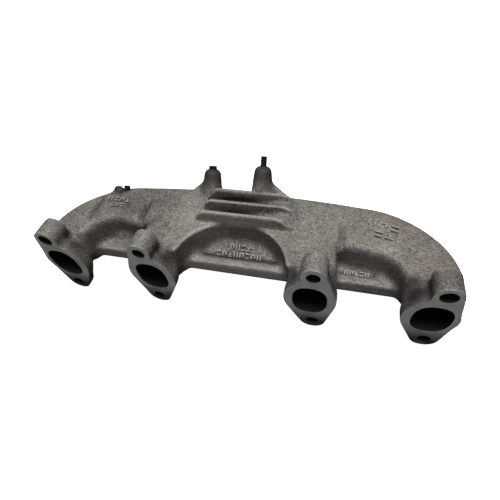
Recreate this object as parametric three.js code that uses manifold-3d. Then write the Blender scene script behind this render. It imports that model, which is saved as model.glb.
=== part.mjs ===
// Cast-iron exhaust manifold of a four-cylinder in-line engine, with its heat-shield and outlet studs.
// Millimetres, +X along the engine, +Y away from the cylinder head, +Z up.
// The origin is the middle of the port line, on the gasket plane of the four port flanges.
import * as THREE from "three";
import { mergeVertices } from "three/addons/utils/BufferGeometryUtils.js";
import Module from "manifold-3d";

// Port layout
const PAIR_PITCH = 88;          // between the two ports of each outer pair
const CENTRE_PITCH = 135;       // between the two middle ports
const PORT_HALF_X = 13.6;
const PORT_HALF_Z = 17.8;
const PORT_SQUARENESS = 2.5;    // superellipse exponent of the port's outline

// Port flanges
const FLANGE_THICKNESS = 10;
const FLANGE_HALF_X = 20.8;
const END_FLANGE_OUTER_X = 18;  // the end flanges are narrower on their outer side
const FLANGE_HALF_Z = 25;
const BOLT_SPAN = 63;           // between the two bolt holes of one flange
const TOP_BOLT_OFFSET = 1.5;    // outwards from the port's centre
const LOW_BOLT_OFFSET = 3.5;
const BOLT_HOLE_RADIUS = 4.75;
const OUTER_HOLE_RADIUS = 5.5;  // the end flanges' upper holes let the casting grow with heat
const TOP_LOBE_RADIUS = 9.8;
const LOW_LOBE_RADIUS = 10.8;
const TOP_BOSS_LENGTH = 18;     // gasket plane to the nut seat

// Gallery and runners
const GALLERY_DEPTH = 73;       // gasket plane to the gallery's axis, at the middle
const GALLERY_BOW = 7.4;        // how far that axis comes forward at the elbows
const GALLERY_HALF_Y = 21;
const BEND_HALF_Y = 23.2;       // half width of the gallery where its elbows start
const RUNNER_HALF_X = 18.6;     // half width of the end runners where they meet their flanges
const GALLERY_HALF_Z = 22.4;
const GALLERY_SQUARENESS = 3;
const WALL = 5;
const ELBOW_RUN = 56;           // end port's axis to the start of the straight gallery
const ELBOW_START = 20;         // gasket plane to the start of the bend
const ARCH_CENTRE = 9;          // gasket plane to the centre of the arch between the middle runners
const ARCH_BELOW = 14;          // how far the arch's walls reach below and above the gallery's axis
const ARCH_ABOVE = 18;

// Web and its front rib
const WEB_THICKNESS = 6;
const WEB_STEP = 6.5;           // from the rib's top down to the web behind it
const WEB_RISE = 18;            // the web climbs this much from the rib to the gallery
const RIB_FRONT = 25.5;
const RIB_WIDTH = 8.5;
const RIB_TOP = -5.5;
const RIB_HEIGHT = 14.3;

// Stiffening fins over the middle chamber
const CHAMBER_HALF_X = 45;      // at the foot of the sloping ends
const CHAMBER_X = -1;
const CHAMBER_TOP = 33.4;
const CHAMBER_FOOT = 17;
const CHAMBER_RAMP = 10;
const GROOVE_HALF_X = 37;
const FIN_COUNT = 3;
const FIN_THICKNESS = 3.6;
const FIN_PITCH = 14.4;
const GROOVE_DEPTH = 11;

// Heat-shield posts
const POST_RADIUS = 7.8;        // at the top, and below at its foot
const POST_FOOT_RADIUS = 10.5;
const POST_LEAN = 35;           // degrees from +Z towards +Y
const POST_TOP_BACK = 27;       // from the gallery's axis back to the middle of a post's top
const POSTS = [
  { name: "left", x: -35.5, topZ: 40, stud: { radius: 4, out: 2 }, gussetDrop: 11, gussetRun: 25 },
  { name: "right", x: 12.8, topZ: 47.5, stud: { radius: 3, out: 7.8 }, gussetDrop: 13, gussetRun: 26 },
];
const POST_LENGTH = 34;
const POST_EDGE = 3.2;
const GUSSET_THICKNESS = 6;
const GUSSET_FOOT = 8;

// Shield boss near the left end of the gallery
const END_BOSS_X = -122;
const END_BOSS_BACK = 6;
const END_BOSS_RADIUS = 6;
const END_BOSS_TOP = 21;
const END_STUD = { radius: 3, out: 5 };
const NUB_RADIUS = 4.4;
const NUB_OFFSET = 9.5;
const NUB_RISE = 3;

// Outlet
const OUTLET_X = -8;
const OUTLET_BACK = 1.5;
const OUTLET_BORE_RADIUS = 18.5;
const OUTLET_FACE = -31;
const OUTLET_FLANGE_THICKNESS = 12;
const OUTLET_HALF = 35;
const OUTLET_CORNER = 11;
const OUTLET_STUD_SPACING = 50;
const OUTLET_STUD = { radius: 4, out: 17 };

// Studs
const STUD_CLEARANCE = 0.3;
const STUD_EMBED = 12;
const STUD_CHAMFER = 0.7;
const OUTLET_STUD_EMBED = 9;

// Fineness of the faceted shapes
const SECTION_SIDES = 20;
const FLANGE_SIDES = 36;
const SWEEP_STEPS = 36;
const ROUND_SIDES = 24;
const STUD_SIDES = 16;
const OVERSHOOT = 1;            // how far a cutting tool passes the face it opens

const INNER_PORT = CENTRE_PITCH / 2;
const OUTER_PORT = INNER_PORT + PAIR_PITCH;
const PORTS = [-OUTER_PORT, -INNER_PORT, INNER_PORT, OUTER_PORT];
const ARCH_CREST = GALLERY_DEPTH - GALLERY_HALF_Y;
const POST_TOP_Y = GALLERY_DEPTH + POST_TOP_BACK;
const END_BOSS_Y = GALLERY_DEPTH + END_BOSS_BACK;
const OUTLET_Y = GALLERY_DEPTH + OUTLET_BACK;

const castIron = new THREE.MeshStandardMaterial({ color: 0x7d7972, roughness: 0.78, metalness: 0.55 });
const blackSteel = new THREE.MeshStandardMaterial({ color: 0x1d1d1f, roughness: 0.5, metalness: 0.8 });

const wasm = await Module();
wasm.setup();

function toSolid(geometry) {
  const bare = geometry.clone();
  bare.deleteAttribute("normal");
  bare.deleteAttribute("uv");
  const merged = mergeVertices(bare, 1e-4);
  return new wasm.Manifold(new wasm.Mesh({
    numProp: 3,
    vertProperties: merged.attributes.position.array,
    triVerts: new Uint32Array(merged.index.array),
  }));
}

function toGeometry(solid) {
  const mesh = solid.getMesh();
  const geometry = new THREE.BufferGeometry();
  geometry.setAttribute("position", new THREE.BufferAttribute(mesh.vertProperties, 3));
  geometry.setIndex(new THREE.BufferAttribute(mesh.triVerts, 1));
  geometry.computeVertexNormals();
  return geometry;
}

const join = (solids) => solids.reduce((whole, piece) => whole.add(piece));
const cutAll = (solid, tools) => tools.reduce((left, tool) => left.subtract(tool), solid);

// The corners of a closed outline whose half sizes are a (first axis) and b (second axis).
function superellipse(a, b, squareness) {
  const round = (value) => Math.sign(value) * Math.abs(value) ** (2 / squareness);
  const points = [];
  for (let i = 0; i < SECTION_SIDES; i += 1) {
    const angle = (2 * Math.PI * i) / SECTION_SIDES;
    points.push(new THREE.Vector2(a * round(Math.cos(angle)), b * round(Math.sin(angle))));
  }
  return points;
}

// Extrudes an outline drawn in X and Z along +Y, from one depth to another.
function alongY(shape, from, to, x = 0, z = 0) {
  const geometry = new THREE.ExtrudeGeometry(shape, { depth: to - from, bevelEnabled: false });
  geometry.rotateX(Math.PI / 2);
  geometry.translate(x, to, z);
  return geometry;
}

// Extrudes an outline drawn in X and Y along +Z.
function alongZ(shape, from, to, x = 0, y = 0) {
  const geometry = new THREE.ExtrudeGeometry(shape, { depth: to - from, bevelEnabled: false });
  geometry.translate(x, y, from);
  return geometry;
}

// Extrudes an outline drawn in Y and Z along +X.
function alongX(shape, from, to) {
  const geometry = new THREE.ExtrudeGeometry(shape, { depth: to - from, bevelEnabled: false });
  geometry.rotateY(Math.PI / 2);
  geometry.rotateX(Math.PI / 2);
  geometry.translate(from, 0, 0);
  return geometry;
}

function rodAlongY(radius, from, to, x, z) {
  const geometry = new THREE.CylinderGeometry(radius, radius, to - from, ROUND_SIDES);
  geometry.translate(x, (from + to) / 2, z);
  return geometry;
}

function rodAlongZ(radius, from, to, x, y) {
  const geometry = new THREE.CylinderGeometry(radius, radius, to - from, ROUND_SIDES);
  geometry.rotateX(Math.PI / 2);
  geometry.translate(x, y, (from + to) / 2);
  return geometry;
}

// The half width of a port's flange, on its outer or its inner side.
function flangeHalfX(x, outer) {
  return outer && Math.abs(x) === OUTER_PORT ? END_FLANGE_OUTER_X : FLANGE_HALF_X;
}

// The convex outline round the port's ellipse and the lower bolt lobe.
function flangeShape(x) {
  const side = Math.sign(x);
  const lobe = new THREE.Vector2(side * LOW_BOLT_OFFSET, -BOLT_SPAN / 2);
  const points = [];
  for (let i = 0; i < FLANGE_SIDES; i += 1) {
    const angle = (2 * Math.PI * i) / FLANGE_SIDES;
    const u = new THREE.Vector2(Math.cos(angle), Math.sin(angle));
    const halfX = flangeHalfX(x, u.x * side > 0);
    const reach = Math.hypot(halfX * u.x, FLANGE_HALF_Z * u.y);
    if (reach > lobe.dot(u) + LOW_LOBE_RADIUS) {
      points.push(new THREE.Vector2(halfX ** 2 * u.x, FLANGE_HALF_Z ** 2 * u.y).divideScalar(reach));
    } else {
      points.push(u.multiplyScalar(LOW_LOBE_RADIUS).add(lobe));
    }
  }
  return new THREE.Shape(points);
}

// Fills the neck between the ellipse and the upper lobe: nearly straight outside, hollow inside.
// Each corner is placed by shares of the lobe's radius or of the ellipse's half sizes.
function neckShape(x) {
  const side = Math.sign(x);
  const lobeX = side * TOP_BOLT_OFFSET;
  const lobeZ = BOLT_SPAN / 2;
  const outX = side * flangeHalfX(x, true);
  const shape = new THREE.Shape();
  shape.moveTo(lobeX, lobeZ);
  shape.lineTo(lobeX + side * TOP_LOBE_RADIUS * 0.98, lobeZ - TOP_LOBE_RADIUS * 0.2);
  shape.quadraticCurveTo(outX * 0.78, FLANGE_HALF_Z * 0.7, outX * 0.94, FLANGE_HALF_Z * 0.34);
  shape.lineTo(0, 0);
  shape.lineTo(-side * FLANGE_HALF_X * 0.8, FLANGE_HALF_Z * 0.6);
  shape.quadraticCurveTo(-side * FLANGE_HALF_X * 0.45, FLANGE_HALF_Z * 0.84,
    lobeX - side * TOP_LOBE_RADIUS * 0.9, lobeZ - TOP_LOBE_RADIUS * 0.43);
  return shape;
}

function portFlange(x) {
  const side = Math.sign(x);
  const plate = toSolid(alongY(flangeShape(x), 0, FLANGE_THICKNESS, x));
  const neck = toSolid(alongY(neckShape(x), 0, FLANGE_THICKNESS, x));
  const boss = rodAlongY(TOP_LOBE_RADIUS, 0, TOP_BOSS_LENGTH, x + side * TOP_BOLT_OFFSET, BOLT_SPAN / 2);
  return join([plate, neck, toSolid(boss)]);
}

function flangeHoles(x) {
  const side = Math.sign(x);
  const topRadius = Math.abs(x) === OUTER_PORT ? OUTER_HOLE_RADIUS : BOLT_HOLE_RADIUS;
  const end = TOP_BOSS_LENGTH + OVERSHOOT;
  return [
    rodAlongY(topRadius, -OVERSHOOT, end, x + side * TOP_BOLT_OFFSET, BOLT_SPAN / 2),
    rodAlongY(BOLT_HOLE_RADIUS, -OVERSHOOT, end, x + side * LOW_BOLT_OFFSET, -BOLT_SPAN / 2),
  ].map(toSolid);
}

// The gallery's axis: up one end runner, round its elbow, along behind the head and back down the other.
function galleryAxis(start) {
  const half = [new THREE.Vector3(0, GALLERY_DEPTH, 0)];
  const elbowX = OUTER_PORT - ELBOW_RUN;
  const elbowY = GALLERY_DEPTH - GALLERY_BOW;
  half.push(new THREE.Vector3(elbowX / 2, GALLERY_DEPTH - GALLERY_BOW / 4, 0));
  for (let i = 0; i <= 4; i += 1) {
    const angle = (Math.PI / 2) * (1 - i / 4);
    const y = ELBOW_START + (elbowY - ELBOW_START) * Math.sin(angle);
    half.push(new THREE.Vector3(elbowX + ELBOW_RUN * Math.cos(angle), y, 0));
  }
  half.push(new THREE.Vector3(OUTER_PORT, start, 0));
  const other = half.slice(1).reverse().map((p) => new THREE.Vector3(-p.x, p.y, 0));
  return new THREE.CatmullRomCurve3([...other, ...half]);
}

// Widest where the elbows start, and narrowest at the ports.
function galleryHalfWidth(place) {
  const elbowX = OUTER_PORT - ELBOW_RUN;
  const elbowY = GALLERY_DEPTH - GALLERY_BOW;
  if (Math.abs(place.x) < elbowX) {
    return THREE.MathUtils.lerp(GALLERY_HALF_Y, BEND_HALF_Y, Math.abs(place.x) / elbowX);
  }
  return THREE.MathUtils.lerp(RUNNER_HALF_X, BEND_HALF_Y, (place.y / elbowY) ** 2);
}

// A closed tube along that axis.
function gallery(inset, start) {
  const axis = galleryAxis(start);
  const positions = [];
  const faces = [];
  for (let step = 0; step <= SWEEP_STEPS; step += 1) {
    const centre = axis.getPointAt(step / SWEEP_STEPS);
    const tangent = axis.getTangentAt(step / SWEEP_STEPS);
    const halfWidth = galleryHalfWidth(centre) - inset;
    for (const point of superellipse(halfWidth, GALLERY_HALF_Z - inset, GALLERY_SQUARENESS)) {
      positions.push(centre.x - tangent.y * point.x, centre.y + tangent.x * point.x, point.y);
    }
  }
  for (let step = 0; step < SWEEP_STEPS; step += 1) {
    for (let i = 0; i < SECTION_SIDES; i += 1) {
      const near = step * SECTION_SIDES + i;
      const next = step * SECTION_SIDES + ((i + 1) % SECTION_SIDES);
      faces.push(near, next, near + SECTION_SIDES, next, next + SECTION_SIDES, near + SECTION_SIDES);
    }
  }
  const last = SWEEP_STEPS * SECTION_SIDES;
  for (let i = 1; i < SECTION_SIDES - 1; i += 1) {
    faces.push(0, i + 1, i, last, last + i, last + i + 1);
  }
  const geometry = new THREE.BufferGeometry();
  geometry.setAttribute("position", new THREE.Float32BufferAttribute(positions, 3));
  geometry.setIndex(faces);
  return toSolid(geometry);
}

function innerRunner(x, inset, from) {
  const section = superellipse(FLANGE_HALF_X - inset, GALLERY_HALF_Z - inset, GALLERY_SQUARENESS);
  return toSolid(alongY(new THREE.Shape(section), from, GALLERY_DEPTH, x));
}

function portPassage(x) {
  const section = superellipse(PORT_HALF_X, PORT_HALF_Z, PORT_SQUARENESS);
  const end = Math.abs(x) === OUTER_PORT ? ELBOW_START : GALLERY_DEPTH;
  return toSolid(alongY(new THREE.Shape(section), -OVERSHOOT, end, x));
}

// A plate that climbs from the rib to the gallery, and the rib along its front edge.
function web() {
  const back = RIB_FRONT + RIB_WIDTH;
  const end = GALLERY_DEPTH - GALLERY_HALF_Y / 2;
  const foot = RIB_TOP - WEB_STEP;
  const shape = new THREE.Shape([
    new THREE.Vector2(RIB_FRONT, RIB_TOP),
    new THREE.Vector2(RIB_FRONT, RIB_TOP - RIB_HEIGHT),
    new THREE.Vector2(back, RIB_TOP - RIB_HEIGHT),
    new THREE.Vector2(back, foot - WEB_THICKNESS),
    new THREE.Vector2(end, foot - WEB_THICKNESS + WEB_RISE),
    new THREE.Vector2(end, foot + WEB_RISE),
    new THREE.Vector2(back, foot),
    new THREE.Vector2(back, RIB_TOP),
  ]);
  return toSolid(alongX(shape, -OUTER_PORT, OUTER_PORT));
}

// The walls that round off the corners between the two middle runners and the gallery.
function middleArch() {
  const half = INNER_PORT - FLANGE_HALF_X / 2;
  const span = INNER_PORT - FLANGE_HALF_X;
  const block = new THREE.Shape();
  block.moveTo(-half, ARCH_CENTRE);
  block.absellipse(0, ARCH_CENTRE, span, ARCH_CREST - ARCH_CENTRE, Math.PI, 0, true);
  block.lineTo(half, ARCH_CENTRE);
  block.lineTo(half, GALLERY_DEPTH);
  block.lineTo(-half, GALLERY_DEPTH);
  return toSolid(alongZ(block, -ARCH_BELOW, ARCH_ABOVE));
}

const finY = (index) => ARCH_CREST + FIN_THICKNESS / 2 + FIN_PITCH * index;

// The raised middle of the gallery's roof, sloping down at both ends.
function chamberBlock() {
  const left = CHAMBER_X - CHAMBER_HALF_X;
  const right = CHAMBER_X + CHAMBER_HALF_X;
  const shape = new THREE.Shape([
    new THREE.Vector2(left, CHAMBER_FOOT),
    new THREE.Vector2(right, CHAMBER_FOOT),
    new THREE.Vector2(right - CHAMBER_RAMP, CHAMBER_TOP),
    new THREE.Vector2(left + CHAMBER_RAMP, CHAMBER_TOP),
  ]);
  const front = finY(0) - FIN_THICKNESS / 2;
  const back = finY(FIN_COUNT - 1) + FIN_THICKNESS / 2;
  return toSolid(alongY(shape, front, back));
}

// The round-ended grooves that leave the fins standing.
function finGrooves() {
  const radius = (FIN_PITCH - FIN_THICKNESS) / 2;
  const reach = GROOVE_HALF_X - radius;
  const outline = new THREE.Shape();
  outline.absarc(reach, 0, radius, -Math.PI / 2, Math.PI / 2);
  outline.absarc(-reach, 0, radius, Math.PI / 2, Math.PI * 1.5);
  const tools = [];
  for (let i = 0; i < FIN_COUNT - 1; i += 1) {
    const y = finY(i) + FIN_PITCH / 2;
    tools.push(toSolid(alongZ(outline, CHAMBER_TOP - GROOVE_DEPTH, CHAMBER_TOP + OVERSHOOT, CHAMBER_X, y)));
  }
  return tools;
}

// Places a solid of revolution, drawn up its own axis, so that its top stands at a post's leaning top.
function leaning(geometry, x, y, z) {
  geometry.rotateX(Math.PI / 2);
  geometry.rotateX(-THREE.MathUtils.degToRad(POST_LEAN));
  geometry.translate(x, y, z);
  return geometry;
}

function turned(profile, sides) {
  return new THREE.LatheGeometry(profile.map(([r, h]) => new THREE.Vector2(r, h)), sides);
}

function post(place) {
  const shape = turned([
    [0, -POST_LENGTH],
    [POST_FOOT_RADIUS, -POST_LENGTH],
    [POST_RADIUS, -POST_EDGE],
    [POST_RADIUS - POST_EDGE * 0.3, -POST_EDGE * 0.3],
    [POST_RADIUS - POST_EDGE * 0.8, 0],
    [0, 0],
  ], ROUND_SIDES);
  const cylinder = toSolid(leaning(shape, place.x, POST_TOP_Y, place.topZ));
  const outwards = place.x < CHAMBER_X ? -1 : 1;
  const low = -POST_LENGTH;
  const gusset = new THREE.Shape([
    new THREE.Vector2(0, low),
    new THREE.Vector2(outwards * place.gussetRun, low),
    new THREE.Vector2(outwards * place.gussetRun, low + GUSSET_FOOT),
    new THREE.Vector2(outwards * POST_RADIUS, -place.gussetDrop),
    new THREE.Vector2(0, -place.gussetDrop),
  ]);
  const plate = new THREE.ExtrudeGeometry(gusset, { depth: GUSSET_THICKNESS, bevelEnabled: false });
  plate.translate(0, 0, -GUSSET_THICKNESS / 2);
  return cylinder.add(toSolid(leaning(plate, place.x, POST_TOP_Y, place.topZ)));
}

// The blind hole that holds a stud, with clearance all round and below it.
function leaningHole(stud, x, y, z) {
  const radius = stud.radius + STUD_CLEARANCE;
  const length = STUD_EMBED + STUD_CLEARANCE + OVERSHOOT;
  const geometry = new THREE.CylinderGeometry(radius, radius, length, STUD_SIDES);
  geometry.translate(0, OVERSHOOT - length / 2, 0);
  return toSolid(leaning(geometry, x, y, z));
}

function endBoss() {
  const bossLength = POST_LENGTH / 2;
  const boss = new THREE.CylinderGeometry(END_BOSS_RADIUS, END_BOSS_RADIUS + 1, bossLength, ROUND_SIDES);
  boss.translate(0, -bossLength / 2, 0);
  const nub = new THREE.CylinderGeometry(NUB_RADIUS, NUB_RADIUS + 1, bossLength, STUD_SIDES);
  nub.translate(0, -bossLength / 2, 0);
  return [
    toSolid(leaning(boss, END_BOSS_X, END_BOSS_Y, END_BOSS_TOP)),
    toSolid(leaning(nub, END_BOSS_X - NUB_OFFSET, END_BOSS_Y, END_BOSS_TOP + NUB_RISE)),
  ];
}

function outletFlange() {
  const half = OUTLET_HALF - OUTLET_CORNER;
  const outline = new THREE.Shape();
  for (let i = 0; i < 4; i += 1) {
    const angle = (Math.PI / 2) * i;
    const x = half * Math.sign(Math.cos(angle + Math.PI / 4));
    const y = half * Math.sign(Math.sin(angle + Math.PI / 4));
    outline.absarc(x, y, OUTLET_CORNER, angle, angle + Math.PI / 2);
  }
  const plate = alongZ(outline, OUTLET_FACE, OUTLET_FACE + OUTLET_FLANGE_THICKNESS, OUTLET_X, OUTLET_Y);
  const neck = rodAlongZ(OUTLET_BORE_RADIUS + WALL, OUTLET_FACE + 1, 0, OUTLET_X, OUTLET_Y);
  return toSolid(plate).add(toSolid(neck));
}

const outletStudPlaces = [[-1, -1], [1, -1], [1, 1], [-1, 1]].map(([sx, sy]) => ({
  x: OUTLET_X + (sx * OUTLET_STUD_SPACING) / 2,
  y: OUTLET_Y + (sy * OUTLET_STUD_SPACING) / 2,
}));

function outletStudHole({ x, y }) {
  const top = OUTLET_FACE + OUTLET_STUD_EMBED + STUD_CLEARANCE;
  return toSolid(rodAlongZ(OUTLET_STUD.radius + STUD_CLEARANCE, OUTLET_FACE - OVERSHOOT, top, x, y));
}

function casting() {
  const outside = join([
    gallery(0, FLANGE_THICKNESS / 2),
    ...PORTS.map(portFlange),
    innerRunner(-INNER_PORT, 0, FLANGE_THICKNESS / 2),
    innerRunner(INNER_PORT, 0, FLANGE_THICKNESS / 2),
    middleArch(),
    web(),
    cutAll(join([chamberBlock(), ...POSTS.map(post)]), finGrooves()),
    outletFlange(),
  ]);
  const outletBore = rodAlongZ(OUTLET_BORE_RADIUS, OUTLET_FACE - OVERSHOOT, 0, OUTLET_X, OUTLET_Y);
  const hollow = cutAll(outside, [
    gallery(WALL, ELBOW_START / 2),
    ...PORTS.map(portPassage),
    toSolid(outletBore),
  ]);
  // The end boss reaches into the gallery, so that its stud hole stays blind.
  return cutAll(join([hollow, ...endBoss()]), [
    ...PORTS.flatMap(flangeHoles),
    ...POSTS.map((place) => leaningHole(place.stud, place.x, POST_TOP_Y, place.topZ)),
    leaningHole(END_STUD, END_BOSS_X, END_BOSS_Y, END_BOSS_TOP),
    ...outletStudPlaces.map(outletStudHole),
  ]);
}

// A plain stud with chamfered ends, its face of the casting at height 0 and its free end up.
function studGeometry(stud, embed) {
  return turned([
    [0, -embed],
    [stud.radius - STUD_CHAMFER, -embed],
    [stud.radius, -embed + STUD_CHAMFER],
    [stud.radius, stud.out - STUD_CHAMFER],
    [stud.radius - STUD_CHAMFER, stud.out],
    [0, stud.out],
  ], STUD_SIDES);
}

const manifold = new THREE.Group();

function addMesh(name, geometry, material) {
  const mesh = new THREE.Mesh(geometry, material);
  mesh.name = name;
  manifold.add(mesh);
  return mesh;
}

function addLeaningStud(name, stud, x, y, z) {
  const mesh = addMesh(name, studGeometry(stud, STUD_EMBED), blackSteel);
  mesh.rotation.x = Math.PI / 2 - THREE.MathUtils.degToRad(POST_LEAN);
  mesh.position.set(x, y, z);
}

addMesh("manifold_casting", toGeometry(casting()), castIron);
for (const place of POSTS) {
  addLeaningStud(`shield_stud_${place.name}`, place.stud, place.x, POST_TOP_Y, place.topZ);
}
addLeaningStud("shield_stud_end", END_STUD, END_BOSS_X, END_BOSS_Y, END_BOSS_TOP);
outletStudPlaces.forEach(({ x, y }, index) => {
  const mesh = addMesh(`outlet_stud_${index + 1}`, studGeometry(OUTLET_STUD, OUTLET_STUD_EMBED), blackSteel);
  mesh.rotation.x = -Math.PI / 2;
  mesh.position.set(x, y, OUTLET_FACE);
});

export default manifold;
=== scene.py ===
"""A cast-iron exhaust manifold of a four-cylinder in-line engine, on a pale floor under soft light.

Shapes are drawn in millimetres in the CAD frame: +X along the engine, +Y away from the cylinder head,
+Z up, with the origin in the middle of the port line, on the gasket plane. They become metres at the end.
"""
import math

import bmesh
import bpy
from mathutils import Matrix, Vector


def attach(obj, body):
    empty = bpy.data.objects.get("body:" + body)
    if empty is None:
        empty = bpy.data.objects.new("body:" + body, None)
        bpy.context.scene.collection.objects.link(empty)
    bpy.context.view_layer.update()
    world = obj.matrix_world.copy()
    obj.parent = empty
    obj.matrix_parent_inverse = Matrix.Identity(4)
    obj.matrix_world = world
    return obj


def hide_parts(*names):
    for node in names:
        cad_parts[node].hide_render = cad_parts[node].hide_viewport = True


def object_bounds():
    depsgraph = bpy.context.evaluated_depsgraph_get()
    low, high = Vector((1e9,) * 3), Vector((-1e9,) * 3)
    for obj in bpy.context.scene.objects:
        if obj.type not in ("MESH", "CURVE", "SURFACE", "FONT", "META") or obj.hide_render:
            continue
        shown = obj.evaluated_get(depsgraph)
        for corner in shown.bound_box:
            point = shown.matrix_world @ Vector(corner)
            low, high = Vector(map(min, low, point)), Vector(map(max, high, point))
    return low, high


bl_info = {
    "name": "Exhaust Manifold",
    "version": (1, 0, 0),
    "blender": (4, 5, 0),
    "location": "3D Viewport > Sidebar > Manifold",
    "description": "Models a cast-iron exhaust manifold with its studs, and the floor and lights round it",
    "category": "Object",
}

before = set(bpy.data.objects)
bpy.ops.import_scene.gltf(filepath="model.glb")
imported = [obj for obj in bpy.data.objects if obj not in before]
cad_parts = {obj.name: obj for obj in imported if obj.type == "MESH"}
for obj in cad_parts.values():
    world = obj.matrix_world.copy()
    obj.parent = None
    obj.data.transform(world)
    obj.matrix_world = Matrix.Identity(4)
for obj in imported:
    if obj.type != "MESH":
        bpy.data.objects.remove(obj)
CAD_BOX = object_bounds()
MM = 0.001
SIDES = 48                  # of every round section

RIGHT = Vector((1, 0, 0))
BACK = Vector((0, 1, 0))
UP = Vector((0, 0, 1))

# Port flanges, with a bolt lobe above and one below each
FLANGE_THICKNESS = 10
FLANGE_HALF_X = 20.8
END_FLANGE_OUTER_X = 18
FLANGE_HALF_Z = 25
TOP_BOLT_OFFSET = 1.5       # outwards from the port's middle
LOW_BOLT_OFFSET = 3.5
TOP_LOBE_RADIUS = 9.8
LOW_LOBE_RADIUS = 10.6
NECK_RADIUS = 12            # of the arc that joins a flange's upper lobe to its oval
NECK_HEIGHT = 5
TOP_BOSS_LENGTH = 18        # gasket plane to the upper nut seat
NUT_ROOM = 3.6              # a nut seat's radius past its hole's
SEAT_DEPTH = 7
PORT_SQUARENESS = 2.5
END_PASSAGE = 22            # how far the end ports run straight back, to meet the gallery's hollow
MACHINING = 2.5             # cast stock in front of a face, cut away by its machining

# Gallery: half sizes of its section, and where its end runners bend
GALLERY_HALF_Z = 22.6
GALLERY_SQUARENESS = 7
ROOF_LEAN = 0.11            # how far the section's front side leans, per millimetre of height
NECK_SQUARENESS = 2.05      # behind the flanges the runners are rounder
NECK_END = 26               # gasket plane to where they reach their full section
NECK_HALF_Z = 20.4
RUNNER_DROP = 0.3           # the inner runners' roof below the gallery's
INNER_RUNNER = (
    # gasket plane to the section, its half widths outside and inside, and how much of it is full
    (-MACHINING, 19.8, 19.4, 0), (12, 19.6, 19.2, 0), (17, 19.4, 19.4, 0), (19, 19.1, 19.6, 0.15),
    (21, 18.8, 19.9, 0.5), (23, 18.3, 20.2, 0.85), (NECK_END, 17.8, 20.5, 1), (44, 15.8, 21, 1),
)
INNER_RUNNER_END = (15.6, 21, 1)    # the same at the gallery's axis
LEFT_SLIM = 4               # taken off the inside of the left end runner
MIDDLE_HALF_Y = 21
BEND_HALF_Y = 23.2
ELBOW_HALF = 20.4
RUNNER_HALF_X = 18.6
BOW = 7.4                   # how much further forward the gallery's axis lies at its bends than in its middle
ELBOW_RUN = 56
ELBOW_START = 18            # gasket plane to where the end runners begin to bend
VALLEYS = (
    # place along X, depth and half width of each crease across the roof
    (-142.5, 4, 3), (-92, 4.6, 3), (86.5, 3.4, 3), (138, 1.6, 4), (112, 1, 5),
)

# Web, rib and the raised middle
RIB_FRONT = 25.5
RIB_BACK = 34
RIB_TOP = -5.5
RIB_LOW = -19.8
WEB_LOW_TOP = -12.6
WEB_HIGH_TOP = 2
WEB_THICKNESS = 6
ARCH_CENTRE_Y = 9
ARCH_TOP = 21.8
ARCH_LOW = -17
ARCH_FLARE = 1.09           # how much wider its opening is at the bottom
FIN_PITCH = 14.4
FIN_FIRST = 49.8            # gasket plane to the front fin
FIN_THICKNESS = 3.4
FIN_ENDS = ((-40, 43), (-37, 47), (-35, 44))
CREST = 33.4                # height of the fins
GROOVES = (-36, 38)         # left and right end of the grooves between the fins
GROOVE_FLOOR = 20.6         # height down to which they are cut
CLEAR_OF_ROOF = 70          # a height above the whole casting

# Posts, bosses and studs
STUD_CLEARANCE = 0.3
STUD_EMBED = 12
LEAN = math.radians(35)
POST_TOP_Y = 100
POST_LENGTH = 34
POST_RADIUS = 8
POSTS = (
    # place along X, height of the top, run and drop of the gusset, radius of the stud's hole
    (-35.5, 40.2, -26, 11, 4 + STUD_CLEARANCE),
    (12.8, 47.6, 27, 13, 3 + STUD_CLEARANCE),
)
END_BOSS = Vector((-122, 79, 21))
END_BOSS_LENGTH = 17
END_HOLE_RADIUS = 3 + STUD_CLEARANCE
NUB_OFFSET = -9.5           # a blunt cast nub stands beside the end boss
SHIELD_STUDS = (
    # name, middle of the boss's top, radius, and how far the stud stands out
    ("left", (-35.5, POST_TOP_Y, 40), 4, 2),
    ("right", (12.8, POST_TOP_Y, 47.5), 3, 7.8),
    ("end", END_BOSS, 3, 5),
)
OUTLET = Vector((-8, 74.5, 0))
OUTLET_FACE = -31
OUTLET_THICKNESS = 12
OUTLET_LOBE_RADIUS = 10
OUTLET_BORE = 18.5
OUTLET_SPACING = 50
OUTLET_STUD_RADIUS = 4
OUTLET_STUD_OUT = 17
OUTLET_STUD_EMBED = 9
FLOOR_GAP = 0.5             # below the outlet studs

MARK_HEIGHT = 1.9
MARK_BAR = 1.2              # width of a bar of the foundry's marks

# The casting's finishes, in the order of its material slots
MACHINED = 1
# soot in the passages, and painted shade on the walls of the bolt and stud holes
SOOT_AND_SHADE = 2
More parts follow.
